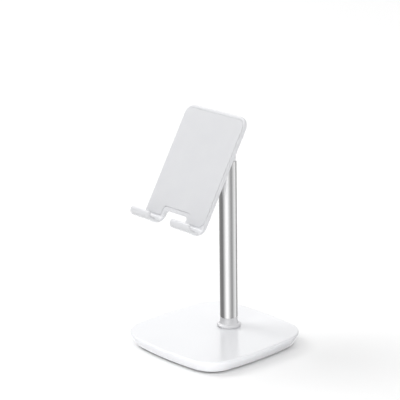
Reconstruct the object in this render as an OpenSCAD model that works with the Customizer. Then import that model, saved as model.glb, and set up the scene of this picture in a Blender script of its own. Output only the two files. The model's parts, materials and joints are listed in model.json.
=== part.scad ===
// Desk phone stand: a weighted rounded-square base, an aluminium post and a
// tilting cradle with two hooks. Millimetres, +Z up, the front faces -Y and the
// origin is the centre of the face that rests on the desk.

/* [Base] */
// Width and depth of the base across the middle of its sides
base_w = 105; // [100:1:115]
// Radius of the gentle bulge of each side
side_bulge_r = 254; // [230:2:320]
// Radius of the corners in plan
corner_r = 23.4; // [20:0.2:26]
// Height of the cover from its lower edge to its flat top
cover_h = 8.9; // [8:0.1:10]
// Radius of the cover's rounded top edge
edge_r = 0.9; // [0.5:0.1:1.5]
// How far the sides lean in between the top edge and the lower edge
side_taper = 4.2; // [3:0.1:5]
// Thickness of the cover's wall at its lower edge, and of its top
cover_wall = 1.8; // [1.6:0.1:2]
// Thickness of the silicone foot pad
foot_h = 1.5; // [1:0.1:2]
// How far the foot pad is set in from the widest edge of the base
foot_inset = 8; // [7:0.5:10]
// Thickness of the plate that closes the base
bottom_t = 1.2; // [1:0.1:1.4]
// Distance of the four base screws from the centre, along X and along Y
base_screw_off = 34; // [30:1:36]

/* [Post] */
// Distance of the post behind the centre of the base
post_y = 14.7; // [8:0.1:20]
// Outer radius of the post tube
tube_r = 6.6; // [6.4:0.1:7]
// Wall thickness of the post tube
tube_wall = 1.1; // [0.9:0.1:1.2]
// Height of the tube's lower end above the desk
tube_z0 = 17.9; // [17.6:0.1:20]
// Height of the tube's upper end above the desk
tube_z1 = 138.2; // [120:0.2:140]
// Radius of the collar's foot ring
collar_foot_r = 8.9; // [8.6:0.1:10]
// Height of the collar's rounded foot ring
collar_ring_h = 2.4; // [2:0.1:3]

/* [Hinge] */
// Height of the tilt axis above the desk
hinge_z = 159.4; // [156:0.1:164]
// Radius of the knuckle and of the ears around the axis
knuckle_r = 6; // [5.8:0.1:6.4]
// Width of the knuckle along the axis
knuckle_w = 8; // [7:0.2:9]
// Thickness of each ear of the bracket
ear_t = 2.6; // [2.4:0.1:3]
// Radius of the hinge pin
pin_r = 2.5; // [2.2:0.1:2.8]
// Running clearance between the pin and the knuckle, on the radius
pin_gap = 0.05; // [0.03:0.01:0.1]

/* [Cradle] */
// How far the cradle leans back from upright as drawn
lean = 31.1; // [0:0.1:60]
// Width of the cradle
cradle_w = 62.6; // [60:0.2:70]
// Height of the cradle's top edge above the axis
plate_top = 10.4; // [9.4:0.1:12]
// Distance from the axis down to the underside of the hooks
hook_drop = 80.5; // [74:0.1:84]
// Distance from the axis forward to the face that the phone leans on
pad_face = 17.5; // [17:0.1:19]
// Thickness of the cradle plate
plate_t = 3.2; // [3:0.1:3.6]
// Radius of the plate's top corners
plate_corner_r = 8; // [5:0.5:10]
// Width of each hook
hook_w = 20; // [17:0.5:21]
// Clear depth between the back pad and a hook's lip
hook_depth = 11.6; // [10:0.1:13]
// Thickness of the lip
lip_t = 2.4; // [2:0.1:2.6]
// Height of the lip's top above the underside of the hook
lip_h = 5.9; // [5.6:0.1:8]
// Thickness of the hook's floor
floor_t = 2.3; // [2:0.1:2.6]
// Height of the cable notch's top above the underside of the hooks
notch_h = 11.3; // [10:0.1:14]

/* [Pads] */
// Thickness of the pad on the plate
back_pad_t = 1; // [0.8:0.1:1.2]
// How far the pad stands out of its pocket
pad_proud = 0.4; // [0.2:0.1:0.5]
// Thickness of the pads in the hooks
hook_pad_t = 0.8; // [0.6:0.1:1]

/* [Hidden] */
$fn = 64;
eps = 0.01;
side_steps = 16;
corner_steps = 12;
cover_top = foot_h + cover_h;
ceiling_z = cover_top - cover_wall;
bottom_top = foot_h + bottom_t;
cavity_inset = side_taper + cover_wall;
screw_r = 1.25;
screw_head_r = 2.5;
boss_r = 3;
boss_gap = 0.4;

post_screw_r = 2.5;
post_head_r = 4.2;
post_head_z0 = foot_h + 0.5;
post_head_h = 2;
washer_z0 = post_head_z0 + post_head_h;
washer_t = 0.8;
web_z0 = washer_z0 + washer_t;
clear_gap = 0.25;
cover_hole_r = 4.2;
spigot_h = 4;
plug_h = 12;
bore_r = tube_r - tube_wall;

neck_r = tube_r - 0.55;
neck_spigot = 20;
neck_shoulder_z = hinge_z - knuckle_r - 1.2;
set_screw_r = 1.5;
set_screw_z = tube_z1 - 8;

washer_gap = 0.1;
friction_t = 0.7;
ear_x0 = knuckle_w / 2 + washer_gap + friction_t;
ear_x1 = ear_x0 + ear_t;
flange_t = 2.2;
flange_w = 30;
flange_z0 = -15.5;
flange_z1 = 6.8;
flange_r = 4;
ear_root = 9;
ear_crown = 5.4;
bracket_screw_x = 11.4;
bracket_screw_z = [-12, 3.2];
bracket_screw_r = 1.1;
bracket_screw_depth = 2.4;
pin_head_h = 2;
pin_head_r = 3.8;
thread_r = 1.75;
thread_len = 3.8;
disc_t = 0.5;
disc_rise = 0.4;
nut_h = 2.8;
nut_r = 3.6;
cap_r = knuckle_r - 0.5;
cap_wall = 1;
cap_depth = 4;
cap_edge = 1.2;

plate_front = -pad_face + pad_proud;
plate_back = plate_front + plate_t;
pocket_y = -pad_face + back_pad_t;
lip_inner = -pad_face - hook_depth;
lip_outer = lip_inner - lip_t;
hook_z = -hook_drop;
floor_z = hook_z + floor_t;
lip_top = hook_z + lip_h;
notch_z = hook_z + notch_h;
notch_w = cradle_w - 2 * hook_w;
bend_r = 9.2;
toe_r = 4.1;
heel_r = 4;
crook_r = 1.7;
hook_plan_r = 1.8;
hook_end_r = 2;
notch_corner_r = 2.5;
side_rim = 1;
top_rim = 2.4;
notch_rim = 2.8;
pad_bottom = floor_z + heel_r + 0.4;
pad_corner_r = 6;
pad_gap = 0.1;

// Points of a circular arc, ends included
function arc(centre, r, a0, a1, n = 8) =
    [for (i = [0:n]) let (a = a0 + (a1 - a0) * i / n)
        centre + r * [cos(a), sin(a)]];

function turned(p, a) = [p[0] * cos(a) - p[1] * sin(a), p[0] * sin(a) + p[1] * cos(a)];

// The base's outline: four bulged sides joined by tangent corner arcs
function base_outline(inset) =
    let (
        side_r = side_bulge_r - inset,
        round_r = corner_r - inset,
        side_c = base_w / 2 - side_bulge_r,
        reach = side_r - round_r,
        corner_c = (side_c + sqrt(2 * reach * reach - side_c * side_c)) / 2,
        sweep = atan2(corner_c, corner_c - side_c),
        side = arc([side_c, 0], side_r, -sweep, sweep, side_steps),
        corner = arc([corner_c, corner_c], round_r, sweep, 90 - sweep, corner_steps))
    [for (q = [0:3]) for (p = concat(side, [for (i = [1:corner_steps - 1]) corner[i]]))
        turned(p, 90 * q)];

module base_slab(inset, z0, z1) {
    translate([0, 0, z0]) linear_extrude(z1 - z0) polygon(base_outline(inset));
}

module at_base_screws() {
    for (x = [-1, 1], y = [-1, 1])
        translate([x * base_screw_off, y * base_screw_off, 0]) children();
}

module rod(r, z0, z1) {
    translate([0, 0, z0]) cylinder(r = r, h = z1 - z0);
}

// A cylinder along X between two places
module axle(r, x0, x1, sides = 64) {
    translate([x0, 0, 0]) rotate([0, 90, 0]) cylinder(r = r, h = x1 - x0, $fn = sides);
}

module at_post() {
    translate([0, post_y, 0]) children();
}

// Places the cradle's own frame: origin on the tilt axis, +Z up the plate
module in_cradle() {
    translate([0, post_y, hinge_z]) rotate([-lean, 0, 0]) children();
}

// A flat rectangle with round corners, from one corner to the other
module round_rect(a, b, r) {
    translate([a[0] + r, a[1]]) square([b[0] - a[0] - 2 * r, b[1] - a[1]]);
    translate([a[0], a[1] + r]) square([b[0] - a[0], b[1] - a[1] - 2 * r]);
    for (x = [a[0] + r, b[0] - r], y = [a[1] + r, b[1] - r])
        translate([x, y]) circle(r = r);
}

// Extrudes a front-view (X, Z) shape from y0 back to y1
module from_front(y0, y1) {
    translate([0, y1, 0]) rotate([90, 0, 0]) linear_extrude(y1 - y0) children();
}

// Extrudes a side-view (Y, Z) shape from x0 to x1
module from_side(x0, x1) {
    translate([x0, 0, 0]) rotate([90, 0, 90]) linear_extrude(x1 - x0) children();
}

module cross_recess(r, depth, width = 0.5) {
    for (a = [0, 90])
        rotate(a) translate([-r, -width / 2, -eps]) cube([2 * r, width, depth + eps]);
}

// ---- Base ----

// Widest just under its top edge, with gently curved sides that lean in below
module cover_form() {
    skin = 0.02;
    side_curve = 1.3;
    side_h = cover_h - edge_r;
    hull() {
        for (t = [0:0.2:0.8])
            let (z = foot_h + t * side_h)
            base_slab(side_taper * pow(1 - t, side_curve), z, z + skin);
        for (a = [0:22.5:90])
            let (z = cover_top - edge_r * (1 - sin(a)))
            base_slab(edge_r * (1 - cos(a)), z - skin, z);
    }
}

module base_cover() {
    color("white") difference() {
        union() {
            difference() {
                cover_form();
                base_slab(cavity_inset, foot_h - 1, ceiling_z);
            }
            at_base_screws() rod(boss_r, bottom_top, ceiling_z + eps);
        }
        at_base_screws() rod(screw_r, bottom_top - 1, ceiling_z - 0.2);
        at_post() rod(cover_hole_r, ceiling_z - 1, cover_top + 1);
    }
}

module base_weight() {
    color("dimgray") difference() {
        base_slab(cavity_inset + 1, bottom_top, ceiling_z);
        at_base_screws() rod(boss_r + boss_gap, bottom_top - 1, ceiling_z + 1);
        at_post() rod(post_screw_r + clear_gap, bottom_top - 1, ceiling_z + 1);
        at_post() rod(post_head_r + 1.4, bottom_top - 1, web_z0);
    }
}

module base_bottom() {
    color("gainsboro") difference() {
        base_slab(cavity_inset + 0.15, foot_h, bottom_top);
        at_base_screws() translate([0, 0, foot_h])
            cylinder(r1 = screw_head_r, r2 = screw_r, h = bottom_t);
        at_base_screws() rod(screw_r, foot_h - 1, bottom_top + 1);
        at_post() rod(post_head_r + 1.4, foot_h - 1, bottom_top + 1);
    }
}

module foot_pad() {
    color("darkgray") base_slab(foot_inset, 0, foot_h);
}

module base_screws() {
    color("silver") at_base_screws() difference() {
        union() {
            translate([0, 0, foot_h]) cylinder(r1 = screw_head_r, r2 = screw_r, h = bottom_t);
            rod(screw_r, foot_h + eps, ceiling_z - 0.5);
        }
        translate([0, 0, foot_h]) cross_recess(1.3, 0.8);
    }
}

// ---- Post ----

module post_screw() {
    color("silver") at_post() difference() {
        union() {
            rod(post_head_r, post_head_z0, washer_z0);
            rod(post_screw_r, washer_z0 - eps, tube_z0 + spigot_h + plug_h - 2);
        }
        translate([0, 0, post_head_z0 - eps]) cylinder(r = 1.8, h = 1.3, $fn = 6);
    }
}

module post_washer() {
    color("silver") at_post() difference() {
        rod(post_head_r + 1, washer_z0, web_z0);
        rod(post_screw_r + clear_gap, washer_z0 - 1, web_z0 + 1);
    }
}

// A slim flare on a rounded foot ring
module post_collar() {
    ring_r = collar_ring_h / 2;
    ring_c = collar_foot_r - ring_r;
    flare_h = 4.2;
    flare_w = ring_c - tube_r;
    flare = [for (i = [1:12]) let (a = 90 * i / 12)
        [ring_c - flare_w * sin(a), cover_top + collar_ring_h + flare_h * (1 - cos(a))]];
    color("white") at_post() rotate_extrude($fn = 96) polygon(concat(
        [[post_screw_r + clear_gap, ceiling_z], [cover_hole_r - 0.05, ceiling_z],
         [cover_hole_r - 0.05, cover_top]],
        arc([ring_c, cover_top + ring_r], ring_r, -90, 90, 12),
        flare,
        [[tube_r, tube_z0], [bore_r - 0.05, tube_z0], [bore_r - 0.05, tube_z0 + spigot_h],
         [post_screw_r + clear_gap, tube_z0 + spigot_h]]));
}

module post_tube() {
    chamfer = 0.25;
    color("silver") at_post() difference() {
        rotate_extrude($fn = 96) polygon([
            [bore_r, tube_z0], [tube_r - chamfer, tube_z0], [tube_r, tube_z0 + chamfer],
            [tube_r, tube_z1 - chamfer], [tube_r - chamfer, tube_z1], [bore_r, tube_z1]]);
        translate([0, 0, set_screw_z]) rotate([-90, 0, 0]) cylinder(r = set_screw_r, h = tube_r + 1);
    }
}

module tube_plug() {
    color("darkgray") at_post() difference() {
        rod(bore_r, tube_z0 + spigot_h, tube_z0 + spigot_h + plug_h);
        rod(post_screw_r, tube_z0, tube_z0 + spigot_h + plug_h + 1);
    }
}

module hinge_neck() {
    core_r = 3;
    cheek = knuckle_w / 2;
    color("white") at_post() difference() {
        union() {
            rod(bore_r - 0.02, tube_z1 - neck_spigot, tube_z1 + eps);
            translate([0, 0, tube_z1]) cylinder(r1 = neck_r - 0.3, r2 = neck_r, h = 0.3);
            rod(neck_r, tube_z1 + 0.3, neck_shoulder_z);
            hull() {
                translate([0, 0, hinge_z]) axle(knuckle_r, -cheek, cheek, 48);
                intersection() {
                    rod(neck_r, neck_shoulder_z - 2, neck_shoulder_z);
                    translate([-cheek, -neck_r, 0]) cube([2 * cheek, 2 * neck_r, hinge_z]);
                }
            }
        }
        translate([0, 0, hinge_z]) axle(pin_r + pin_gap, -cheek - 1, cheek + 1);
        rod(core_r, tube_z1 - neck_spigot - 1, neck_shoulder_z - 2);
        translate([0, core_r - 1, set_screw_z]) rotate([-90, 0, 0])
            cylinder(r = set_screw_r, h = tube_r);
    }
}

module neck_set_screw() {
    screw_y0 = 3.2;
    color("dimgray") at_post() translate([0, screw_y0, set_screw_z]) rotate([-90, 0, 0])
        difference() {
            cylinder(r = set_screw_r, h = tube_r - 0.3 - screw_y0);
            translate([0, 0, tube_r - 0.3 - screw_y0 - 1.2]) cylinder(r = 0.8, h = 2, $fn = 6);
        }
}

// ---- Hinge, in the cradle's frame ----

module ear_outline() {
    face = plate_back + flange_t;
    slope = atan2(ear_root - knuckle_r, -face);
    polygon(concat(
        arc([0, 0], knuckle_r, -90 - slope, 90, 24),
        [[face, ear_crown], [plate_back + 1, ear_crown],
         [plate_back + 1, -ear_root], [face, -ear_root]]));
}

module hinge_bracket() {
    color("white") in_cradle() difference() {
        union() {
            from_front(plate_back, plate_back + flange_t)
                round_rect([-flange_w / 2, flange_z0], [flange_w / 2, flange_z1], flange_r);
            from_side(ear_x0, ear_x1) ear_outline();
            from_side(-ear_x1, -ear_x0) ear_outline();
        }
        axle(pin_r, -ear_x1 - 1, ear_x1 + 1);
        for (x = [-bracket_screw_x, bracket_screw_x], z = bracket_screw_z)
            translate([x, plate_back - 1, z])
                rotate([-90, 0, 0]) cylinder(r = bracket_screw_r, h = flange_t + 2);
    }
}

module bracket_screws() {
    head_r = 2.1;
    head_h = 1.2;
    color("silver") in_cradle() for (x = [-bracket_screw_x, bracket_screw_x], z = bracket_screw_z)
        translate([x, plate_back + flange_t, z])
            rotate([90, 0, 0]) difference() {
                union() {
                    translate([0, 0, -head_h]) cylinder(r1 = head_r - 0.4, r2 = head_r, h = head_h);
                    rod(bracket_screw_r, -eps, flange_t + bracket_screw_depth - 0.1);
                }
                translate([0, 0, -head_h]) cross_recess(1.2, 0.7);
            }
}

module hinge_pin() {
    color("silver") in_cradle() difference() {
        union() {
            axle(pin_head_r, ear_x1, ear_x1 + pin_head_h);
            axle(pin_r, -ear_x1, ear_x1 + eps);
            axle(thread_r, -ear_x1 - thread_len, -ear_x1 + eps);
        }
        translate([ear_x1 + pin_head_h - 1, -pin_head_r - 1, -0.5])
            cube([2, 2 * pin_head_r + 2, 1]);
    }
}

module friction_washers() {
    outer_r = knuckle_r - 0.8;
    color("goldenrod") in_cradle() for (side = [-1, 1])
        difference() {
            if (side > 0) axle(outer_r, ear_x0 - friction_t, ear_x0);
            else axle(outer_r, -ear_x0, -ear_x0 + friction_t);
            axle(pin_r + pin_gap, -ear_x1, ear_x1);
        }
}

module disc_spring() {
    inner_r = thread_r + 0.1;
    outer_r = nut_r + 0.4;
    color("dimgray") in_cradle() translate([-ear_x1, 0, 0]) rotate([0, -90, 0])
        rotate_extrude() polygon([
            [inner_r, disc_rise], [outer_r, 0], [outer_r, disc_t], [inner_r, disc_rise + disc_t]]);
}

module hinge_nut() {
    seat = ear_x1 + disc_t + disc_rise;
    color("silver") in_cradle() difference() {
        axle(nut_r, -seat - nut_h, -seat, 6);
        axle(thread_r, -seat - nut_h - 1, -seat + 1);
    }
}

module hinge_cap(side) {
    color("white") in_cradle() rotate([0, 90 * side, 0]) translate([0, 0, ear_x1])
        rotate_extrude($fn = 96) polygon(concat(
            [[cap_r - cap_wall, 0], [cap_r, 0]],
            arc([cap_r - cap_edge, cap_depth + cap_wall - cap_edge], cap_edge, 0, 90, 6),
            [[0, cap_depth + cap_wall], [0, cap_depth], [cap_r - cap_wall, cap_depth]]));
}

module hinge_cap_left() {
    hinge_cap(-1);
}

module hinge_cap_right() {
    hinge_cap(1);
}

// ---- Cradle, in its own frame ----

// Side view of the plate and a hook: down the back, round the bend, along the
// floor, up the lip and back inside
module cradle_section() {
    lip_r = lip_t / 2;
    polygon(concat(
        [[plate_back, plate_top]],
        arc([plate_back - bend_r, hook_z + bend_r], bend_r, 0, -90, 12),
        arc([lip_outer + toe_r, hook_z + toe_r], toe_r, -90, -180, 8),
        arc([lip_outer + lip_r, lip_top - lip_r], lip_r, 180, 0, 10),
        arc([lip_inner + crook_r, floor_z + crook_r], crook_r, 180, 270, 4),
        arc([plate_front - heel_r, floor_z + heel_r], heel_r, -90, 0, 6),
        [[plate_front, plate_top]]));
}

module cradle_front_outline() {
    half = cradle_w / 2;
    difference() {
        union() {
            round_rect([-half, hook_z], [half, plate_top - plate_corner_r], hook_end_r);
            round_rect([-half, notch_z], [half, plate_top], plate_corner_r);
        }
        round_rect([-notch_w / 2, hook_z - 10], [notch_w / 2, notch_z], notch_corner_r);
    }
}

// The lips end in rounded corners at both sides of each hook
module hook_ends() {
    for (x = [-cradle_w / 2, cradle_w / 2 - hook_w])
        from_front(lip_outer - 1, lip_inner + crook_r + eps)
            round_rect([x, hook_z], [x + hook_w, lip_top], hook_end_r);
    from_front(lip_inner + crook_r, 0)
        translate([-cradle_w, hook_z - 1]) square([2 * cradle_w, 2 * hook_drop]);
}

module hook_plan() {
    translate([0, 0, hook_z - 1]) linear_extrude(2 * hook_drop) {
        for (x = [-cradle_w / 2, cradle_w / 2 - hook_w])
            round_rect([x, lip_outer], [x + hook_w, 0], hook_plan_r);
        translate([-cradle_w, plate_front - 4]) square([2 * cradle_w, pad_face]);
    }
}

module back_pad_outline(gap) {
    half = cradle_w / 2 - side_rim - gap;
    notch_half = notch_w / 2 + notch_rim + gap;
    difference() {
        round_rect([-half, pad_bottom + gap], [half, plate_top - top_rim - gap], pad_corner_r - gap);
        round_rect([-notch_half, hook_z - 10], [notch_half, notch_z + notch_rim + gap],
            notch_corner_r + gap);
    }
}

module cradle_plate() {
    color("white") in_cradle() difference() {
        intersection() {
            from_side(-cradle_w / 2, cradle_w / 2) cradle_section();
            from_front(lip_outer - 1, 0) cradle_front_outline();
            hook_ends();
            hook_plan();
        }
        from_front(plate_front - 1, pocket_y) back_pad_outline(0);
        for (x = [-bracket_screw_x, bracket_screw_x], z = bracket_screw_z)
            translate([x, plate_back + 1, z])
                rotate([90, 0, 0]) cylinder(r = bracket_screw_r, h = bracket_screw_depth + 1);
    }
}

module back_pad() {
    color("whitesmoke") in_cradle()
        from_front(-pad_face, pocket_y) back_pad_outline(pad_gap);
}

module hook_pad(side) {
    inset = 1.6;
    x0 = side > 0 ? cradle_w / 2 - hook_w : -cradle_w / 2;
    color("whitesmoke") in_cradle() translate([0, 0, floor_z]) linear_extrude(hook_pad_t)
        round_rect([x0 + inset, lip_inner + crook_r + 0.1],
            [x0 + hook_w - inset, plate_front - heel_r - 0.1], 1.5);
}

module hook_pad_left() {
    hook_pad(-1);
}

module hook_pad_right() {
    hook_pad(1);
}

base_cover();
base_weight();
base_bottom();
foot_pad();
base_screws();
post_screw();
post_washer();
post_collar();
post_tube();
tube_plug();
hinge_neck();
neck_set_screw();
hinge_bracket();
hinge_pin();
friction_washers();
disc_spring();
hinge_nut();
hinge_cap_left();
hinge_cap_right();
bracket_screws();
cradle_plate();
back_pad();
hook_pad_left();
hook_pad_right();
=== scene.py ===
"""Desk phone stand: a weighted satin white base, an aluminium post and a tilting padded cradle.

Metres, in the row frame: +Z up, the front faces -Y, the origin is on the desk.
"""
import json
import math

import bmesh
import bpy
from mathutils import Matrix, Vector


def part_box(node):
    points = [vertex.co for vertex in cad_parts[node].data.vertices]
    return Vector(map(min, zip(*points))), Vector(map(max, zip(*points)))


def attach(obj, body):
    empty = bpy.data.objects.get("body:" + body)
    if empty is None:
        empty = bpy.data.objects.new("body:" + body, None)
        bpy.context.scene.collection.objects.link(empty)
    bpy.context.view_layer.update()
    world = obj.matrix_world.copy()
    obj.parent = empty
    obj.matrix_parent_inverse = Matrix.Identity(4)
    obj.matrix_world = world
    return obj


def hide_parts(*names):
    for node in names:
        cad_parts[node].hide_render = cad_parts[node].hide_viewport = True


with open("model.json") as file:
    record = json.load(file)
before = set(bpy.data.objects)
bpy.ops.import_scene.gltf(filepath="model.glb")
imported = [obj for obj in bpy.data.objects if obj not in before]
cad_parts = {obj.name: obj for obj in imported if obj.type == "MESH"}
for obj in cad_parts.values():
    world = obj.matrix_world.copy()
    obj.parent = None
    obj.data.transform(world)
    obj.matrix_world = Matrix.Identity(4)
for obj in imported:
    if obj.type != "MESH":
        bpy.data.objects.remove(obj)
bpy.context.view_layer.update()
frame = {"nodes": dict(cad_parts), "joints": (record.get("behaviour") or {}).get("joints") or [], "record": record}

MM = 0.001

# Shared by the pieces
WELD = 0.0005 * MM          # points closer than this are one
FLAT_ANGLE = 0.4            # degrees: a hull's faces that turn less are joined
CREASE_ANGLE = 35           # degrees: edges that turn more stay crisp
SLIP = 0.05 * MM            # play between pieces that fit together
HIDDEN_EDGE_R = 0.05 * MM   # edges that lie against another piece
OVERLAP = 0.5 * MM          # how far a joined shape reaches into the other
DRILL_OVERSHOOT = 1 * MM    # how far a drill passes the wall it cuts

# Sizes of the base and the post that a node's box doesn't give
SIDE_BULGE_R = 254 * MM     # the four sides, seen from above
CORNER_R = 23.4 * MM        # the corners between them
COVER_WALL = 1.8 * MM
COVER_EDGE_R = 0.9 * MM     # round the top edge
COVER_FOOT_R = 0.4 * MM     # round the lower edge
SIDE_TAPER = 4.2 * MM       # how far the sides lean in at the foot
SIDE_CURVE = 1.3            # 1 is a straight slant, more is rounder
SIDE_STEPS = 16
TOP_EDGE_LOOPS = (0.5 * MM, 3 * MM)  # rings on the flat top, in from its round edge
COVER_HOLE_R = 4.2 * MM     # the hole for the collar's spigot
FOOT_INSET = 8 * MM         # from the cover's outline in to the foot pad's
FOOT_EDGE_R = 0.35 * MM
FOOT_TOP_EDGE_R = 0.1 * MM
BOSS_R = 3 * MM             # the screw bosses under the cover
BOSS_OFF = 34 * MM          # their places, from the middle along X and Y
BOSS_ROOT = 0.3 * MM        # how far they reach into the cover's top
SCREW_R = 1.25 * MM         # the holes in them
TUBE_WALL = 1.1 * MM
TUBE_EDGE_R = 0.25 * MM
COLLAR_SCREW_R = 2.75 * MM  # the hole for the post screw
COLLAR_RING_R = 1.2 * MM    # the rounded ring at the collar's foot
COLLAR_GROOVE = 0.25 * MM   # the step from the ring in to the flare
COLLAR_FLARE_H = 4.2 * MM
COLLAR_CHAMFER_W = 0.2 * MM
COLLAR_CHAMFER_H = 0.25 * MM
COLLAR_WAIST_DROP = 0.12 * MM  # how much thinner than the tube the waist is
SET_SCREW_R = 1.5 * MM
SET_SCREW_DROP = 8 * MM     # from the tube's top down to the hole

# Sizes of the hinge
NECK_R = 6.05 * MM
NECK_CORE_R = 3 * MM        # the neck's hollow
NECK_EDGE_R = 0.9 * MM      # round its shoulder
NECK_CHAMFER = 0.3 * MM     # at its foot, on the tube
NECK_SHOULDER = 1.2 * MM    # from the knuckle down to the shoulder
SPIGOT_GAP = 0.02 * MM      # between the neck's spigot and the tube
SPIGOT_CHAMFER = 0.4 * MM
TONGUE_ROOT = 3 * MM        # how far below the shoulder the tongue starts
KNUCKLE_R = 6 * MM          # the round ends of the knuckle and the ears
KNUCKLE_W = 8 * MM
KNUCKLE_EDGE_R = 0.5 * MM
PIN_R = 2.5 * MM
FLANGE_T = 2.2 * MM
FLANGE_CORNER_R = 4 * MM
FLANGE_EDGE_R = 0.7 * MM
EAR_T = 2.6 * MM
EAR_ROOT = 9 * MM           # how far the ears reach down the flange from the pin
EAR_CROWN = 5.4 * MM        # how far they reach up it
CAP_WALL = 1 * MM
CAP_EDGE_R = 1.3 * MM
CAP_CROWN_H = 0.15 * MM     # the rise of the cap's face
CAP_RIM_CHAMFER = 0.15 * MM
BRACKET_SCREW_R = 1.1 * MM
BRACKET_SCREW_HEAD_R = 2.1 * MM

# Sizes of the cradle
SEAM_TOLERANCE = 1e-9
CUT_TOLERANCE = 1e-8
PLATE_T = 3.2 * MM
PLATE_CORNER_R = 8 * MM
RIM_FRONT_R = 0.9 * MM      # the rim's edge on the phone's side
RIM_BACK_R = 1.3 * MM       # the rim's edge on the back
HOOK_W = 20 * MM
LIP_T = 2.4 * MM
MEAN_T = (PLATE_T + LIP_T) / 2
LIP_H = 5.9 * MM            # the lips' top, from the hooks' underside
FLOOR_T = 2.3 * MM          # the hooks' floor
NOTCH_H = 11.3 * MM         # the cable notch's top, from the hooks' underside
NOTCH_CORNER_R = 2.5 * MM
BEND_R = 9.2 * MM           # outside the bend from plate to floor
BEND_CUTS = 14              # across each bend
BEND_LEAD = 0.5 * MM        # above that bend, where the sheet's two sides are last level
HEEL_R = 4 * MM             # inside that bend
TOE_R = 4.1 * MM            # outside the bend from floor to lip
CROOK_R = 1.7 * MM          # inside that bend
HOOK_END_R = 2.2 * MM       # the corners of the lips
POCKET_GAP = 0.1 * MM       # round the phone pad in its pocket
PAD_NOTCH_RIM = 2.9 * MM    # from the cable notch to the pad
PAD_CORNER_R = 5.9 * MM
PAD_FOOT_CORNER_R = 1 * MM  # the pad's lower corners beside the notch
PAD_EDGE_R = 0.4 * MM
HOOK_PAD_CORNER_R = 1.5 * MM
HOOK_PAD_EDGE_R = 0.35 * MM


# ---- Places and sizes read from the frame ----

def mount(name):
    """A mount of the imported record."""
    return next(m for m in frame["record"]["mounts"] if m["name"] == name)


def joint(name):
    """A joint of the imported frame."""
    return next(j for j in frame["joints"] if j["name"] == name)


HINGE = Vector(joint("cradle_tilt")["pos_m"])
PHONE_AXIS = Vector(mount("phone_face")["axis"])
LEAN = math.atan2(PHONE_AXIS.z, -PHONE_AXIS.y)
CRADLE = Matrix.Translation(HINGE) @ Matrix.Rotation(-LEAN, 4, "X")
POST = Matrix.Translation((HINGE.x, HINGE.y, 0))
HINGE_AT = Matrix.Translation(HINGE)


def box_in(node, place):
    """Lowest and highest corner of a CAD node in another frame, such as the cradle's own."""
    back = place.inverted()
    points = [back @ v.co for v in frame["nodes"][node].data.vertices]
    return (Vector([min(p[i] for p in points) for i in range(3)]),
            Vector([max(p[i] for p in points) for i in range(3)]))


# ---- Mesh tools ----

def arc(radius, start, end, steps):
    """(x, y, nx, ny) along an arc about the origin, angles in degrees, ends included."""
    angles = [math.radians(start + (end - start) * i / steps) for i in range(steps + 1)]
    return [(radius * math.cos(a), radius * math.sin(a), math.cos(a), math.sin(a)) for a in angles]


def rounded(corners, steps=10):
    """(x, y, nx, ny) round a counter-clockwise polygon whose corners (x, y, radius) are filleted."""
    outline = []
    for i, (x, y, radius) in enumerate(corners):
        here = Vector((x, y))
        came = (here - Vector(corners[i - 1][:2])).normalized()
        goes = (Vector(corners[(i + 1) % len(corners)][:2]) - here).normalized()
        turn = math.atan2(came.x * goes.y - came.y * goes.x, came.dot(goes))
        side = math.copysign(1, turn)
        out = Vector((came.y, -came.x))
        centre = here - came * radius * math.tan(abs(turn) / 2) - out * radius * side
        for k in range(steps + 1):
            a = turn * k / steps
            n = Vector((out.x * math.cos(a) - out.y * math.sin(a),
                        out.x * math.sin(a) + out.y * math.cos(a)))
            p = centre + n * radius * side
            outline.append((p.x, p.y, n.x, n.y))
    return outline


def inset(outline, depth, height):
    """The outline moved inwards by depth, as points at that height."""
    return [Vector((x - depth * nx, y - depth * ny, height)) for x, y, nx, ny in outline]


def fillet(radius, height, up, steps=6):
    """(inset, height) from a wall to a flat face at that height; up is 1 for a top, -1 for a bottom."""
    angles = [math.pi / 2 * i / steps for i in range(steps + 1)]
    return [(radius * (1 - math.cos(a)), height - up * radius * (1 - math.sin(a))) for a in angles]


def edge_profile(low, high, low_r, high_r, steps=6):
    """(inset, height) up a wall with both of its edges rounded."""
    return fillet(low_r, low, -1, steps)[::-1] + fillet(high_r, high, 1, steps)


def loft(bm, rings, loop=False):
    """Quads between rings of equally many points; loop joins the last ring to the first."""
    rows = [[bm.verts.new(p) for p in ring] for ring in rings]
    pairs = list(zip(rows, rows[1:])) + ([(rows[-1], rows[0])] if loop else [])
    for low, high in pairs:
        for i in range(len(low)):
            j = (i + 1) % len(low)
            bm.faces.new((low[i], low[j], high[j], high[i]))
    return rows


def slab(bm, outline, profile):
    """A closed plate: the outline along a rounded edge profile, with a flat face at each end."""
    rows = loft(bm, [inset(outline, depth, height) for depth, height in profile])
    bm.faces.new(rows[0][::-1])
    bm.faces.new(rows[-1])
    return rows


def turned(bm, profile, steps=144, loop=True):
    """A part turned about Z from (radius, z) points; an open profile ends on flat faces."""
    rings = [[Vector((r * math.cos(a), r * math.sin(a), z))
              for a in (2 * math.pi * i / steps for i in range(steps))] for r, z in profile]
    rows = loft(bm, rings, loop)
    if not loop:
        bm.faces.new(rows[0][::-1])
        bm.faces.new(rows[-1])
    return rows


def prism_points(outline, low, high, edge_r, steps=4):
    """Points of a prism with rounded edges, for hull()."""
    return [p for depth, height in edge_profile(low, high, edge_r, edge_r, steps)
            for p in inset(outline, depth, height)]


def hull(bm, points):
    """The closed convex hull of the points, with its flat stretches joined into one face each."""
    verts = [bm.verts.new(p) for p in points]
    found = bmesh.ops.convex_hull(bm, input=verts)
    spare = found["geom_interior"] + found["geom_unused"]
    inner = {v for v in spare if isinstance(v, bmesh.types.BMVert)}
    bmesh.ops.delete(bm, geom=list(inner), context="VERTS")
    bmesh.ops.dissolve_limit(bm, angle_limit=math.radians(FLAT_ANGLE), verts=bm.verts, edges=bm.edges)


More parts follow.
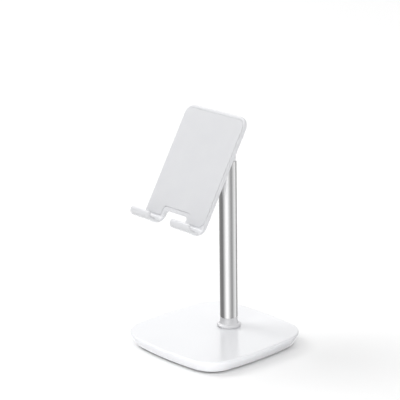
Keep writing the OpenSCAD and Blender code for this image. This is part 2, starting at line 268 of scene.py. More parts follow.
def new_object(name, build, place=Matrix.Identity(4)):
    """A mesh object from build(bm), placed in the row frame with its origin at the frame's."""
    bm = bmesh.new()
    build(bm)
    bm.transform(place)
    bmesh.ops.recalc_face_normals(bm, faces=bm.faces)
    # The bent cradle sheet comes out of that inside out
    if bm.calc_volume(signed=True) < 0:
        bmesh.ops.reverse_faces(bm, faces=bm.faces)
    mesh = bpy.data.meshes.new(name)
    bm.to_mesh(mesh)
    bm.free()
    obj = bpy.data.objects.new(name, mesh)
    bpy.context.scene.collection.objects.link(obj)
    return obj


def combine(obj, operation, *tools):
    """Joins or cuts obj with closed tool meshes, which are used up."""
    for tool in tools:
        step = obj.modifiers.new(operation.lower(), "BOOLEAN")
        step.operation = operation
        step.solver = "EXACT"
        step.object = tool
    graph = bpy.context.evaluated_depsgraph_get()
    made = bpy.data.meshes.new_from_object(obj.evaluated_get(graph))
    obj.modifiers.clear()
    obj.data = made
    for tool in tools:
        bpy.data.objects.remove(tool)
    return obj


def smooth(obj):
    """Smooth shading with flat faces kept flat, and edges sharper than the crease angle kept crisp."""
    bm = bmesh.new()
    bm.from_mesh(obj.data)
    bmesh.ops.remove_doubles(bm, verts=bm.verts, dist=WELD)
    for face in bm.faces:
        face.smooth = True
    for edge in bm.edges:
        edge.smooth = edge.calc_face_angle(0) < math.radians(CREASE_ANGLE)
    bm.to_mesh(obj.data)
    bm.free()
    normals = obj.modifiers.new("normals", "WEIGHTED_NORMAL")
    normals.keep_sharp = True
    normals.weight = 60


def piece(obj, material, body, slot, *nodes):
    """Finishes a new piece: shading, material, the body it rides on and the nodes it stands for."""
    smooth(obj)
    obj.data.materials.clear()
    obj.data.materials.append(material)
    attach(obj, body)
    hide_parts(*nodes)
    return obj


# ---- Materials ----

class Shader:
    """A new material with a Principled shader and object coordinates in metres."""

    def __init__(self, name, **constants):
        self.material = bpy.data.materials.new(name)
        self.material.use_nodes = True
        self.tree = self.material.node_tree
        self.shader = self.tree.nodes["Principled BSDF"]
        for key, value in constants.items():
            self.shader.inputs[key.replace("_", " ")].default_value = value
        self.place = self.tree.nodes.new("ShaderNodeTexCoord").outputs["Object"]

    def link(self, source, socket):
        self.tree.links.new(source, socket)

    def stretched(self, scale):
        node = self.tree.nodes.new("ShaderNodeMapping")
        node.inputs["Scale"].default_value = scale
        self.link(self.place, node.inputs["Vector"])
        return node.outputs["Vector"]

    def noise(self, size, detail=2.0, along=None, rough=0.5):
        """Noise whose grains are about size across, in metres, or stretched by along."""
        node = self.tree.nodes.new("ShaderNodeTexNoise")
        node.inputs["Scale"].default_value = 1 / size
        node.inputs["Detail"].default_value = detail
        node.inputs["Roughness"].default_value = rough
        self.link(self.stretched(along) if along else self.place, node.inputs["Vector"])
        return node.outputs["Fac"]

    def cells(self, size):
        node = self.tree.nodes.new("ShaderNodeTexVoronoi")
        node.inputs["Scale"].default_value = 1 / size
        self.link(self.place, node.inputs["Vector"])
        return node.outputs["Distance"]

    def between(self, source, low, high, start=0.3, end=0.7):
        """Maps a 0 to 1 value to a range of a shader value."""
        node = self.tree.nodes.new("ShaderNodeMapRange")
        for key, value in (("From Min", start), ("From Max", end), ("To Min", low), ("To Max", high)):
            node.inputs[key].default_value = value
        self.link(source, node.inputs["Value"])
        return node.outputs["Result"]

    def tint(self, source, low, high, start=0.3, end=0.7):
        """Maps a 0 to 1 value to a colour between two."""
        node = self.tree.nodes.new("ShaderNodeValToRGB")
        for stop, at, colour in zip(node.color_ramp.elements, (start, end), (low, high)):
            stop.position = at
            stop.color = (*colour, 1)
        self.link(source, node.inputs["Fac"])
        return node.outputs["Color"]

    def colour(self, source, low, high, **stops):
        self.link(self.tint(source, low, high, **stops), self.shader.inputs["Base Color"])

    def roughness(self, source, low, high):
        self.link(self.between(source, low, high), self.shader.inputs["Roughness"])

    def bump(self, *layers):
        """Stacks bumps, each (height, depth in metres, strength)."""
        normal = None
        for source, depth, strength in layers:
            node = self.tree.nodes.new("ShaderNodeBump")
            node.inputs["Distance"].default_value = depth
            node.inputs["Strength"].default_value = strength
            self.link(source, node.inputs["Height"])
            if normal:
                self.link(normal, node.inputs["Normal"])
            normal = node.outputs["Normal"]
        self.link(normal, self.shader.inputs["Normal"])


def white_shell():
    """Satin moulded ABS with a faint spark-eroded texture."""
    m = Shader("white_shell", IOR=1.5)
    m.colour(m.noise(45 * MM, detail=1), (0.745, 0.75, 0.77), (0.76, 0.765, 0.783))
    m.roughness(m.noise(1.2 * MM), 0.18, 0.23)
    m.bump((m.noise(14 * MM), 0.01 * MM, 0.3), (m.noise(0.35 * MM, detail=3), 0.004 * MM, 0.5))
    return m.material


def white_trim():
    """Glossier white plastic of the neck and the hinge."""
    m = Shader("white_trim", IOR=1.5)
    m.colour(m.noise(12 * MM), (0.77, 0.775, 0.79), (0.81, 0.815, 0.83))
    m.roughness(m.noise(0.8 * MM), 0.14, 0.2)
    m.bump((m.noise(0.3 * MM, detail=3), 0.005 * MM, 0.5))
    return m.material


def collar_lacquer():
    """Pearly white lacquer of the collar, which mirrors the studio faintly."""
    m = Shader("collar_lacquer", IOR=1.6, Metallic=0.3)
    m.colour(m.noise(12 * MM), (0.76, 0.76, 0.775), (0.79, 0.79, 0.805))
    m.roughness(m.noise(0.8 * MM), 0.4, 0.46)
    m.bump((m.noise(0.3 * MM, detail=3), 0.003 * MM, 0.4))
    return m.material


def post_metal():
    """Satin anodised aluminium with a fine drawn grain along the tube."""
    m = Shader("post_metal", Metallic=1.0)
    grain = m.noise(0.35 * MM, detail=4, along=(1, 1, 0.012))
    m.colour(grain, (0.76, 0.76, 0.765), (0.84, 0.84, 0.845))
    m.roughness(m.noise(0.6 * MM, detail=3, along=(1, 1, 0.05)), 0.19, 0.27)
    m.bump((grain, 0.004 * MM, 0.35), (m.noise(0.12 * MM, detail=2), 0.002 * MM, 0.4))
    return m.material


def steel():
    """Zinc-plated steel."""
    m = Shader("steel", Metallic=1.0)
    m.colour(m.noise(2.5 * MM, detail=4), (0.50, 0.51, 0.53), (0.66, 0.66, 0.66))
    m.roughness(m.noise(0.5 * MM, detail=3), 0.22, 0.42)
    m.bump((m.noise(0.15 * MM, detail=3), 0.01 * MM, 0.4))
    return m.material


def cast_weight():
    """Raw sand-cast iron."""
    m = Shader("cast_weight", Metallic=0.7)
    m.colour(m.noise(5 * MM, detail=5), (0.09, 0.09, 0.095), (0.22, 0.215, 0.21))
    m.roughness(m.noise(1 * MM, detail=4), 0.55, 0.8)
    m.bump((m.noise(0.7 * MM, detail=5, rough=0.65), 0.12 * MM, 0.8))
    return m.material


def plug_metal():
    """Turned aluminium with lathe rings."""
    m = Shader("plug_metal", Metallic=1.0)
    rings = m.noise(0.4 * MM, detail=2, along=(0.02, 0.02, 1))
    m.colour(rings, (0.62, 0.62, 0.63), (0.74, 0.74, 0.75))
    m.roughness(rings, 0.25, 0.4)
    m.bump((rings, 0.01 * MM, 0.5))
    return m.material


def friction():
    """Natural acetal of the friction washers."""
    m = Shader("friction", Subsurface_Weight=0.1)
    m.colour(m.noise(1.5 * MM, detail=3), (0.62, 0.56, 0.45), (0.74, 0.69, 0.58))
    m.roughness(m.noise(0.3 * MM), 0.4, 0.55)
    m.bump((m.noise(0.2 * MM, detail=2), 0.008 * MM, 0.4))
    return m.material


def pad_silicone():
    """Light grey silicone with a fine matt grain."""
    m = Shader("pad_silicone", IOR=1.43)
    m.colour(m.noise(12 * MM, detail=2), (0.69, 0.695, 0.715), (0.705, 0.71, 0.727))
    m.roughness(m.noise(0.9 * MM), 0.48, 0.62)
    m.bump((m.cells(0.55 * MM), 0.03 * MM, 0.5), (m.noise(0.2 * MM, detail=2), 0.01 * MM, 0.5))
    return m.material


def foot_silicone():
    """Grey silicone foot with a denser matt grain."""
    m = Shader("foot_silicone", IOR=1.43)
    m.colour(m.noise(7 * MM, detail=3), (0.16, 0.16, 0.165), (0.21, 0.21, 0.215))
    m.roughness(m.noise(0.9 * MM), 0.6, 0.78)
    m.bump((m.cells(0.7 * MM), 0.04 * MM, 0.6), (m.noise(0.2 * MM, detail=2), 0.01 * MM, 0.5))
    return m.material


def liner():
    """Plain moulded plastic of the bottom plate."""
    m = Shader("liner", IOR=1.5)
    m.colour(m.noise(15 * MM, detail=2), (0.60, 0.60, 0.61), (0.67, 0.67, 0.675))
    m.roughness(m.noise(1 * MM), 0.42, 0.55)
    m.bump((m.noise(0.4 * MM, detail=3), 0.01 * MM, 0.5))
    return m.material


SLOT_MATERIALS = {f.__name__: f for f in (white_shell, white_trim, post_metal, steel, plug_metal,
                                          friction, pad_silicone, foot_silicone, liner)}
SLOT_MATERIALS["weight"] = cast_weight
FINISH = {slot: make() for slot, make in SLOT_MATERIALS.items()}


def finish_cad_nodes():
    """Every CAD node gets its slot's material and smooth shading."""
    slots = {s["node"]: s["material_slot"] for s in frame["record"]["subparts"]}
    for name, node in frame["nodes"].items():
        node.data.materials.clear()
        node.data.materials.append(FINISH[slots[name]])
        for polygon in node.data.polygons:
            polygon.use_smooth = True
            polygon.material_index = 0


# ---- Base ----

def base_outline(side_steps=32, corner_steps=24):
    """Round the base: four bulged sides joined by tangent corner arcs."""
    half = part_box("base_cover")[1].x
    side_c = half - SIDE_BULGE_R
    reach = SIDE_BULGE_R - CORNER_R
    corner_c = (side_c + math.sqrt(2 * reach ** 2 - side_c ** 2)) / 2
    sweep = math.degrees(math.atan2(corner_c, corner_c - side_c))
    side = [(x + side_c, y, nx, ny) for x, y, nx, ny in arc(SIDE_BULGE_R, -sweep, sweep, side_steps)]
    corner = [(x + corner_c, y + corner_c, nx, ny)
              for x, y, nx, ny in arc(CORNER_R, sweep, 90 - sweep, corner_steps)]
    quarter, outline = side + corner[1:-1], []
    for _ in range(4):
        outline += quarter
        quarter = [(-y, x, -ny, nx) for x, y, nx, ny in quarter]
    return outline


BASE = base_outline()


def post_ring(radius, height):
    """A ring round the post with as many points as the base's outline, so that the two can be lofted."""
    angles = [math.atan2(y - HINGE.y, x) for x, y, _, _ in BASE]
    return [Vector((radius * math.cos(a), HINGE.y + radius * math.sin(a), height)) for a in angles]


# Kept out of mirror images together with the cover, so that the post doesn't mirror the base
INSIDE_BASE = ("base_weight", "base_bottom", "base_screws", "post_screw", "post_washer")


def make_base_cover():
    low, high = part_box("base_cover")
    ceiling = high.z - COVER_WALL
    cavity = SIDE_TAPER + COVER_WALL
    side_low, side_high = low.z + COVER_FOOT_R, high.z - COVER_EDGE_R
    foot = [(SIDE_TAPER + depth, height) for depth, height in fillet(COVER_FOOT_R, low.z, -1)[::-1]]
    side = [(SIDE_TAPER * (1 - t) ** SIDE_CURVE, side_low + t * (side_high - side_low))
            for t in (i / SIDE_STEPS for i in range(1, SIDE_STEPS))]
    flat = [(COVER_EDGE_R + step, high.z) for step in TOP_EDGE_LOOPS]

    def shell(bm):
        rings = [inset(BASE, cavity, low.z)]
        rings += [inset(BASE, depth, height)
                  for depth, height in foot + side + fillet(COVER_EDGE_R, high.z, 1, 10) + flat]
        rings += [post_ring(COVER_HOLE_R, high.z), post_ring(COVER_HOLE_R, ceiling)]
        rings += [inset(BASE, cavity, ceiling)]
        loft(bm, rings, loop=True)

    def boss(bm):
        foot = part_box("base_bottom")[1].z
        root = ceiling + BOSS_ROOT
        turned(bm, [(SCREW_R, foot), (BOSS_R, foot), (BOSS_R, root), (SCREW_R, root)], 48)

    cover = new_object("base_shell", shell)
    bosses = [new_object("boss", boss, Matrix.Translation((x * BOSS_OFF, y * BOSS_OFF, 0)))
              for x in (-1, 1) for y in (-1, 1)]
    combine(cover, "UNION", *bosses)
    piece(cover, FINISH["white_shell"], "stand", "white_shell", "base_cover")
    for obj in [cover] + [frame["nodes"][name] for name in INSIDE_BASE]:
        obj.visible_glossy = False


def make_foot_pad():
    low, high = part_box("foot_pad")

    def pad(bm):
        outline = [(x - FOOT_INSET * nx, y - FOOT_INSET * ny, nx, ny) for x, y, nx, ny in BASE]
        slab(bm, outline, edge_profile(low.z, high.z, FOOT_EDGE_R, FOOT_TOP_EDGE_R))

    sheet = new_object("foot_pad_sheet", pad)
    sheet.visible_glossy = False
    piece(sheet, FINISH["foot_silicone"], "stand", "foot_silicone", "foot_pad")


# ---- Post ----

def make_collar():
    low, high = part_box("post_collar")
    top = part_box("base_cover")[1].z
    foot_r = (high.x - low.x) / 2
    tube_low, tube_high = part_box("post_tube")
    tube_r = (tube_high.x - tube_low.x) / 2
    bore_r = tube_r - TUBE_WALL
    shoulder = tube_low.z
    ring_c = foot_r - COLLAR_RING_R
    waist_r = tube_r - COLLAR_WAIST_DROP

    def profile():
        spigot = [(COLLAR_SCREW_R, low.z), (COVER_HOLE_R - SLIP, low.z), (COVER_HOLE_R - SLIP, top)]
        ring = [(ring_c + x, top + COLLAR_RING_R + z) for x, z, _, _ in arc(COLLAR_RING_R, -90, 84, 18)]
        foot = top + 2 * COLLAR_RING_R
        flare_r = ring_c - COLLAR_GROOVE
        width = flare_r - waist_r
        flare = [(flare_r - width * math.sin(a), foot + COLLAR_FLARE_H * (1 - math.cos(a)))
                 for a in (math.pi / 2 * i / 20 for i in range(21))]
        neck = [(waist_r, shoulder - COLLAR_CHAMFER_H), (waist_r - COLLAR_CHAMFER_W, shoulder),
                (bore_r - SLIP, shoulder), (bore_r - SLIP, high.z), (COLLAR_SCREW_R, high.z)]
        return spigot + ring + flare + neck

    piece(new_object("collar_ring", lambda bm: turned(bm, profile()), POST),
          collar_lacquer(), "stand", "white_trim", "post_collar")


def make_tube():
    low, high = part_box("post_tube")
    tube_r = (high.x - low.x) / 2
    bore_r = tube_r - TUBE_WALL
    wall = [(tube_r - depth, height)
            for depth, height in edge_profile(low.z, high.z, TUBE_EDGE_R, TUBE_EDGE_R, 3)]
    outline = [(bore_r, low.z)] + wall + [(bore_r, high.z)]
    tube = new_object("tube_satin", lambda bm: turned(bm, outline, 192), POST)
    behind = (POST @ Matrix.Translation((0, 0, high.z - SET_SCREW_DROP))
              @ Matrix.Rotation(-math.pi / 2, 4, "X"))
    hole = [(SET_SCREW_R, 0), (SET_SCREW_R, 2 * tube_r)]
    combine(tube, "DIFFERENCE", new_object("drill", lambda bm: turned(bm, hole, 48, False), behind))
    piece(tube, FINISH["post_metal"], "stand", "post_metal", "post_tube")


# ---- Hinge ----

def side_view(p):
    """A point drawn in a side view (Y, Z), with its height along X."""
    return Vector((p.z, p.x, p.y))


def front_view(p):
    """A point drawn in a front view (X, Z), with its height along Y."""
    return Vector((p.x, p.z, p.y))


def redraw(bm, view):
    """Turns what was drawn flat, with its height along Z, into that view."""
    for v in bm.verts:
        v.co = view(v.co)


def circle_outline(radius, steps=72):
    """(x, y, nx, ny) once round a circle, without repeating its first point."""
    return arc(radius, 0, 360 * (steps - 1) / steps, steps - 1)


def drill(radius, low, high, view, place, steps=48):
    """A tool that cuts a round hole along the view's height, from low to high."""
    def build(bm):
        turned(bm, [(radius, low), (radius, high)], steps, loop=False)
        redraw(bm, view)
    return new_object("drill", build, place)


def make_neck():
    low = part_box("hinge_neck")[0]
    tube_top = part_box("post_tube")[1].z
    spigot_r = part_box("post_tube")[1].x - TUBE_WALL - SPIGOT_GAP
    shoulder = HINGE.z - KNUCKLE_R - NECK_SHOULDER
    cheek = KNUCKLE_W / 2

    def stem(bm):
        spigot = [(NECK_CORE_R, low.z), (spigot_r - SPIGOT_CHAMFER, low.z),
                  (spigot_r, low.z + SPIGOT_CHAMFER), (spigot_r, tube_top)]
        foot = [(NECK_R - NECK_CHAMFER, tube_top), (NECK_R, tube_top + NECK_CHAMFER)]
        top_edge = [(NECK_R - depth, height) for depth, height in fillet(NECK_EDGE_R, shoulder, 1)]
        turned(bm, spigot + foot + top_edge + [(NECK_CORE_R, shoulder)])

    def tongue(bm):
        eye = [side_view(p) + Vector((0, 0, HINGE.z))
               for p in prism_points(circle_outline(KNUCKLE_R), -cheek, cheek, KNUCKLE_EDGE_R)]
        spread = math.degrees(math.asin(cheek / NECK_R))
        root = [Vector((x, y, z)) for side in (90, 270)
                for x, y, _, _ in arc(NECK_R - SLIP, side - spread, side + spread, 16)
                for z in (shoulder - TONGUE_ROOT, shoulder - OVERLAP)]
        hull(bm, eye + root)

    neck = new_object("neck_moulding", stem, POST)
    combine(neck, "UNION", new_object("tongue", tongue, POST))
    combine(neck, "DIFFERENCE", drill(PIN_R + SLIP, -2 * cheek, 2 * cheek, side_view, HINGE_AT))
    piece(neck, FINISH["white_trim"], "stand", "white_trim", "hinge_neck")


def bracket_screws():
    """Where the bracket's screws are, in the cradle's front view."""
    low, high = box_in("bracket_screws", CRADLE)
    head_r = BRACKET_SCREW_HEAD_R
    return [(x, z) for x in (low.x + head_r, high.x - head_r) for z in (low.z + head_r, high.z - head_r)]


def make_bracket():
    low, high = box_in("hinge_bracket", CRADLE)
    ear_x1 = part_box("hinge_cap_right")[0].x
    ear_x0 = ear_x1 - EAR_T
    face = low.y + FLANGE_T

    def flange(bm):
        corners = [(low.x, low.z), (high.x, low.z), (high.x, high.z), (low.x, high.z)]
        outline = rounded([(x, z, FLANGE_CORNER_R) for x, z in corners])
        slab(bm, outline, edge_profile(low.y, face, HIDDEN_EDGE_R, FLANGE_EDGE_R))
        redraw(bm, front_view)

    def ear(bm):
        root = [(face - OVERLAP, -EAR_ROOT, 0, -1), (face - OVERLAP, EAR_CROWN, 0, 1)]
        outline = circle_outline(KNUCKLE_R) + root
        hull(bm, [side_view(p) for p in prism_points(outline, ear_x0, ear_x1, KNUCKLE_EDGE_R)])

    bracket = new_object("bracket_moulding", flange, CRADLE)
    ears = [new_object("ear", ear, CRADLE @ Matrix.Translation((x, 0, 0)))
            for x in (0, -ear_x0 - ear_x1)]
    combine(bracket, "UNION", *ears)
    drills = [drill(BRACKET_SCREW_R, low.y - DRILL_OVERSHOOT, face + DRILL_OVERSHOOT, front_view,
                    CRADLE @ Matrix.Translation((x, 0, z))) for x, z in bracket_screws()]
    combine(bracket, "DIFFERENCE", drill(PIN_R, -2 * ear_x1, 2 * ear_x1, side_view, CRADLE), *drills)
    piece(bracket, FINISH["white_trim"], "cradle", "white_trim", "hinge_bracket")


def make_cap(name, side):
    """A domed cap over the screw's head or its nut; side is 1 on the right and -1 on the left."""
    low, high = box_in("hinge_cap_" + name, CRADLE)
    outer_r = high.z
    inner_r = outer_r - CAP_WALL
    depth = high.x - low.x
    seat = min(abs(low.x), abs(high.x))

    def build(bm):
        rim = [(inner_r, depth - CAP_WALL), (inner_r, 0), (outer_r - CAP_RIM_CHAMFER, 0),
               (outer_r, CAP_RIM_CHAMFER)]
        dome = [(outer_r - d, z) for d, z in fillet(CAP_EDGE_R, depth - CAP_CROWN_H, 1, 10)]
        crown = [(outer_r * share, depth - CAP_CROWN_H * share) for share in (0.6, 0.3, 0.1)]
        turned(bm, rim + dome + crown, 96, loop=False)
        redraw(bm, lambda p: Vector(((seat + p.z) * side, p.x, p.y)))

    piece(new_object("cap_moulding_" + name, build, CRADLE),
          FINISH["white_trim"], "cradle", "white_trim", "hinge_cap_" + name)


# ---- Cradle ----

def straight(start, end):
    """(y, z) at a share t of the way along a line."""
    return lambda t: (start[0] + (end[0] - start[0]) * t, start[1] + (end[1] - start[1]) * t)


def bend(start, towards, radius, angle):
    """(y, z) at a share t of the way round a quarter turn from start, about a centre that lies
    towards that direction; angle is where the turn starts, in degrees.
    """
    centre = start[0] + radius * towards[0], start[1] + radius * towards[1]

    def at(t):
        a = math.radians(angle - 90 * t)
        return centre[0] + radius * math.cos(a), centre[1] + radius * math.sin(a)
    return at


class CradleSheet:
    """The cradle as a bent sheet: x runs across it, and v runs down the plate, round the bend, along
    the hooks' floor and up their lips.

    w runs through the thickness, 0 on the side that the phone touches and 1 on the back.
    """

    def __init__(self):
        low, high = box_in("cradle_plate", CRADLE)
        self.half, self.top = high.x, high.z
        self.back, self.lip_out, self.under = high.y, low.y, low.z
        self.front = self.back - PLATE_T
        self.floor = self.under + FLOOR_T
        self.lip_in = self.lip_out + LIP_T
        self.lip_top = self.under + LIP_H
        self.notch = self.under + NOTCH_H
        level = self.under + BEND_R + BEND_LEAD
        inner = [(self.front, self.top), (self.front, level), (self.front, self.floor + HEEL_R),
                 (self.front - HEEL_R, self.floor), (self.lip_in + CROOK_R, self.floor),
                 (self.lip_in, self.floor + CROOK_R), (self.lip_in, self.lip_top)]
        outer = [(self.back, self.top), (self.back, level), (self.back, self.under + BEND_R),
                 (self.back - BEND_R, self.under), (self.lip_out + TOE_R, self.under),
                 (self.lip_out, self.under + TOE_R), (self.lip_out, self.lip_top)]
        # From plate to floor and from floor to lip: both radii, the way to the centre, the first angle
        bends = {2: (HEEL_R, BEND_R, (-1, 0), 0), 4: (CROOK_R, TOE_R, (0, 1), -90)}
        self.parts, v = [], 0.0
        for i in range(len(inner) - 1):
            if i in bends:
                inner_r, outer_r, towards, angle = bends[i]
                inside = bend(inner[i], towards, inner_r, angle)
                outside = bend(outer[i], towards, outer_r, angle)
                length, cuts = math.pi / 4 * (inner_r + outer_r), BEND_CUTS
            else:
                inside, outside = straight(inner[i], inner[i + 1]), straight(outer[i], outer[i + 1])
                length, cuts = math.dist(inner[i], inner[i + 1]), 1
            self.parts.append((v, length, inside, outside, cuts))
            v += length
        self.length = v

    def cuts(self):
        """Where the flat sheet is cut across, so that it bends smoothly."""
        return [v + length * k / n for v, length, _, _, n in self.parts for k in range(n)][1:]

    def place(self, x, v, w):
        """The point of the bent sheet, in the cradle's frame."""
        part = max((p for p in self.parts if p[0] <= v + SEAM_TOLERANCE), key=lambda p: p[0])
        start, length, inside, outside, _ = part
        t = (v - start) / length
        (y0, z0), (y1, z1) = inside(t), outside(t)
        return Vector((x, y0 + (y1 - y0) * w, z0 + (z1 - z0) * w))

    def outline(self):
        """The flat sheet's outline, with a hook at each side of the cable notch."""
        hook = self.half - HOOK_W
        notch = self.top - self.notch
        right = [(self.half, 0, PLATE_CORNER_R), (self.half, self.length, HOOK_END_R),
                 (hook, self.length, HOOK_END_R), (hook, notch, NOTCH_CORNER_R)]
        return rounded(right + [(-x, v, r) for x, v, r in right[::-1]], 12)


SHEET = CradleSheet()


def pad_outline(gap):
    """The phone pad's outline in the cradle's front view, grown by gap."""
    low, high = box_in("back_pad", CRADLE)
    notch = SHEET.half - HOOK_W + PAD_NOTCH_RIM - gap
    notch_top = SHEET.notch + PAD_NOTCH_RIM - gap
    corner_r = PAD_CORNER_R + gap
    right = [(notch, notch_top, NOTCH_CORNER_R), (notch, low.z - gap, PAD_FOOT_CORNER_R),
             (high.x + gap, low.z - gap, corner_r), (high.x + gap, high.z + gap, corner_r)]
    return rounded(right + [(-x, z, r) for x, z, r in right[::-1]], 12)


def make_cradle():
    pad_back = box_in("back_pad", CRADLE)[1].y
    sunk = (pad_back - SHEET.front) / PLATE_T

    def rim_profile():
        """(inset, w) round the sheet's rim, true to its radii where the sheet is MEAN_T thick."""
        inner = [(d, z / MEAN_T) for d, z in fillet(RIM_FRONT_R, 0, -1, 8)[::-1]]
        outer = [(d, 1 + (z - MEAN_T) / MEAN_T) for d, z in fillet(RIM_BACK_R, MEAN_T, 1, 8)]
        return inner + outer

    def build(bm):
        """Draws the sheet flat with the pad's pocket in it, cuts it across and bends it."""
        outline = SHEET.outline()
        rows = loft(bm, [inset(outline, depth, w * PLATE_T) for depth, w in rim_profile()])
        back = bm.faces.new(rows[-1])
        pocket = [(x, SHEET.top - z, nx, -nz) for x, z, nx, nz in pad_outline(POCKET_GAP)]
        mouth, bed = loft(bm, [inset(pocket, 0, 0), inset(pocket, 0, sunk * PLATE_T)])
        bed_face = bm.faces.new(bed)
        edges = [bm.edges.get((ring[i - 1], ring[i]))
                 for ring in (rows[0], mouth) for i in range(len(ring))]
        bmesh.ops.triangle_fill(bm, use_beauty=True, edges=edges)
        bmesh.ops.triangulate(bm, faces=[back, bed_face])
        for v in SHEET.cuts():
            bmesh.ops.bisect_plane(bm, geom=bm.verts[:] + bm.edges[:] + bm.faces[:], dist=CUT_TOLERANCE,
                                   plane_co=(0, v, 0), plane_no=(0, 1, 0))
        for vert in bm.verts:
            vert.co = SHEET.place(vert.co.x, vert.co.y, vert.co.z / PLATE_T)

    piece(new_object("cradle_shell", build, CRADLE),
          FINISH["white_shell"], "cradle", "white_shell", "cradle_plate")


def make_phone_pad():
    low, high = box_in("back_pad", CRADLE)

    def build(bm):
        slab(bm, pad_outline(0), edge_profile(low.y, high.y, PAD_EDGE_R, HIDDEN_EDGE_R))
        redraw(bm, front_view)

    piece(new_object("phone_pad", build, CRADLE),
          FINISH["pad_silicone"], "cradle", "pad_silicone", "back_pad")


def make_hook_pad(name):
    low, high = box_in("hook_pad_" + name, CRADLE)

    def build(bm):
        corners = [(low.x, low.y), (high.x, low.y), (high.x, high.y), (low.x, high.y)]
        slab(bm, rounded([(x, y, HOOK_PAD_CORNER_R) for x, y in corners]),
             edge_profile(low.z, high.z, HIDDEN_EDGE_R, HOOK_PAD_EDGE_R))

    piece(new_object("hook_pad_sheet_" + name, build, CRADLE),
          FINISH["pad_silicone"], "cradle", "pad_silicone", "hook_pad_" + name)


# ---- Stage, light and camera ----

# The camera: its angles from degrees, what it looks at, its distance in metres and its lens in mm
AZIMUTH, ELEVATION, ROLL = (math.radians(a) for a in (47.838, 17.314, -0.756))
TOWARDS_CAMERA = Vector((math.sin(AZIMUTH) * math.cos(ELEVATION),
                         -math.cos(AZIMUTH) * math.cos(ELEVATION), math.sin(ELEVATION)))
VIEW_CENTRE = Vector((-13.6, -0.3, 108.3)) * MM
CAMERA_DISTANCE = 1.3194
LENS = 163.06
FLOOR_HALF = 12  # metres


def make_floor():
    mesh = bpy.data.meshes.new("floor")
    corners = [(x * FLOOR_HALF, y * FLOOR_HALF, 0) for x, y in ((-1, -1), (1, -1), (1, 1), (-1, 1))]
    mesh.from_pydata(corners, [], [(0, 1, 2, 3)])
    floor = bpy.data.objects.new("floor", mesh)
    bpy.context.scene.collection.objects.link(floor)
    m = Shader("floor", Roughness=0.9)
    m.colour(m.noise(0.4), (0.955, 0.955, 0.955), (0.97, 0.97, 0.97))
    mesh.materials.append(m.material)
    floor.visible_glossy = False


# Brightness of the studio's walls, by degrees round from the camera, positive to its right: soft
# panels with dark gaps between them, which draw the bands on the post
WALLS = [(-180, 1.9), (-164, 1.2), (-146, 0.35), (-122, 0.3), (-90, 0.2), (-70, 0.2), (-48, 0.8),
         (-30, 1.3), (-14, 1.42), (4, 1.05), (20, 0.65), (42, 0.28), (56, 0.42), (75, 0.85),
         (100, 1.08), (116, 0.85), (132, 0.05), (148, 0.2), (164, 1.2), (180, 1.9)]
WALL_PEAK = max(level for _, level in WALLS)
CEILING = 0.76
# The sines of the heights between which the walls fade into the ceiling
WALLS_TOP, CEILING_RIM = 0.35, 0.75


def grey(level):
    """A level of the studio as a colour of at most 1, to be multiplied by the world's strength."""
    return (level / WALL_PEAK,) * 3 + (1,)


def math_node(tree, operation, first, *rest):
    """The result of a Math node on a socket and on what follows, each a number or a socket."""
    node = tree.nodes.new("ShaderNodeMath")
    node.operation = operation
    tree.links.new(first, node.inputs[0])
    for socket, value in zip(node.inputs[1:], rest):
        if isinstance(value, float):
            socket.default_value = value
        else:
            tree.links.new(value, socket)
    return node.outputs[0]


def wall_colour(tree, axes):
    """The walls' panels and gaps, by the direction round from the camera."""
    turn = math_node(tree, "ARCTAN2", axes.outputs["X"], axes.outputs["Y"])
    share = math_node(tree, "MULTIPLY", turn, -0.5 / math.pi)
    behind = math_node(tree, "ADD", share, -AZIMUTH / (2 * math.pi))
    walls = tree.nodes.new("ShaderNodeValToRGB")
    walls.color_ramp.interpolation = "B_SPLINE"
    tree.links.new(math_node(tree, "FRACT", behind), walls.inputs["Fac"])
    stops = walls.color_ramp.elements
    while len(stops) < len(WALLS):
        stops.new(0.5)
    for stop, (degrees, level) in zip(stops, WALLS):
        stop.position = (degrees + 180) / 360
        stop.color = grey(level)
    return walls.outputs["Color"]


def ceiling_share(tree, axes):
    """0 on the walls and 1 on the ceiling, with a soft edge between them."""
    height = tree.nodes.new("ShaderNodeMapRange")
    height.interpolation_type = "SMOOTHSTEP"
    height.inputs["From Min"].default_value = WALLS_TOP
    height.inputs["From Max"].default_value = CEILING_RIM
    tree.links.new(axes.outputs["Z"], height.inputs["Value"])
    return height.outputs["Result"]


def make_world():
    """A round studio with soft panels on its walls and an even ceiling."""
    world = bpy.data.worlds.new("studio")
    world.use_nodes = True
    bpy.context.scene.world = world
    tree = world.node_tree
    link = tree.links.new
    axes = tree.nodes.new("ShaderNodeSeparateXYZ")
    link(tree.nodes.new("ShaderNodeTexCoord").outputs["Generated"], axes.inputs[0])
    mix = tree.nodes.new("ShaderNodeMix")
    mix.data_type = "RGBA"
    wall_socket, ceiling_socket, mixed = mix.inputs[6], mix.inputs[7], mix.outputs[2]
    link(ceiling_share(tree, axes), mix.inputs["Factor"])
    link(wall_colour(tree, axes), wall_socket)
    ceiling_socket.default_value = grey(CEILING)
    link(mixed, tree.nodes["Background"].inputs["Color"])
    tree.nodes["Background"].inputs["Strength"].default_value = WALL_PEAK


# How far the lights stand from what they are aimed at, in metres
LIGHT_DISTANCE = 3.0
# The soft boxes: degrees round from the camera, degrees up, the box's side in metres, watts
SOFT_BOXES = {"key": (-105, 48, 1.7, 36), "fill": (48, 26, 0.8, 5), "top": (160, 70, 2.0, 7)}
# The low spot: the same two angles, the cone in degrees, its soft edge, the lamp's radius, watts
SPOT_AZIMUTH, SPOT_ELEVATION = -24, 4
SPOT_CONE, SPOT_BLEND, SPOT_LAMP_R, SPOT_POWER = 3.4, 0.7, 0.12, 480
SPOT_TARGET = Vector((0, 0, 4)) * MM


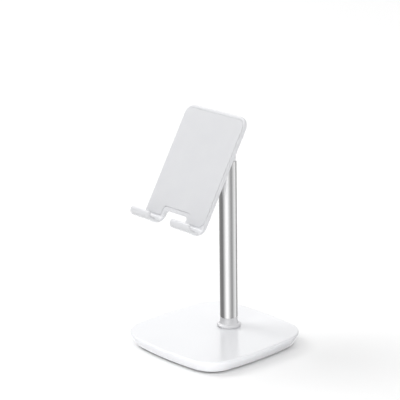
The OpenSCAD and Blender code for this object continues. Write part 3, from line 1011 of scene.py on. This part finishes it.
def aim_light(obj, azimuth, elevation, target):
    """Points a light at the target; azimuth is measured from the camera, positive to its right."""
    bpy.context.scene.collection.objects.link(obj)
    a, e = AZIMUTH + math.radians(azimuth), math.radians(elevation)
    away = Vector((math.sin(a) * math.cos(e), -math.cos(a) * math.cos(e), math.sin(e)))
    obj.location = target + away * LIGHT_DISTANCE
    obj.rotation_euler = (-away).to_track_quat("-Z", "Y").to_euler()


def soft_box(name, azimuth, elevation, side, power):
    """A square soft box aimed at the middle of the view."""
    light = bpy.data.lights.new(name, "AREA")
    light.shape = "RECTANGLE"
    light.size = light.size_y = side
    light.energy = power
    aim_light(bpy.data.objects.new(name, light), azimuth, elevation, VIEW_CENTRE)


def low_spot():
    """A soft spot near the floor that lights only the base cover, whose sides lean in."""
    light = bpy.data.lights.new("low", "SPOT")
    light.spot_size = math.radians(SPOT_CONE)
    light.spot_blend = SPOT_BLEND
    light.shadow_soft_size = SPOT_LAMP_R
    light.energy = SPOT_POWER
    spot = bpy.data.objects.new("low", light)
    aim_light(spot, SPOT_AZIMUTH, SPOT_ELEVATION, SPOT_TARGET)
    lit = bpy.data.collections.new("lit_by_low")
    lit.objects.link(bpy.data.objects["base_shell"])
    spot.light_linking.receiver_collection = lit


def make_lights():
    for name, (azimuth, elevation, side, power) in SOFT_BOXES.items():
        soft_box(name, azimuth, elevation, side, power)
    low_spot()


def make_camera():
    data = bpy.data.cameras.new("camera")
    data.lens = LENS
    camera = bpy.data.objects.new("camera", data)
    bpy.context.scene.collection.objects.link(camera)
    camera.location = VIEW_CENTRE + TOWARDS_CAMERA * CAMERA_DISTANCE
    aim = (-TOWARDS_CAMERA).to_track_quat("-Z", "Y").to_matrix() @ Matrix.Rotation(ROLL, 3, "Z")
    camera.rotation_euler = aim.to_euler()
    bpy.context.scene.camera = camera


finish_cad_nodes()
make_base_cover()
make_foot_pad()
make_collar()
make_tube()
make_neck()
make_bracket()
make_cap("left", -1)
make_cap("right", 1)
make_cradle()
make_phone_pad()
for hook in ("left", "right"):
    make_hook_pad(hook)
make_floor()
make_world()
make_lights()
make_camera()
bpy.context.scene.view_settings.view_transform = "Standard"
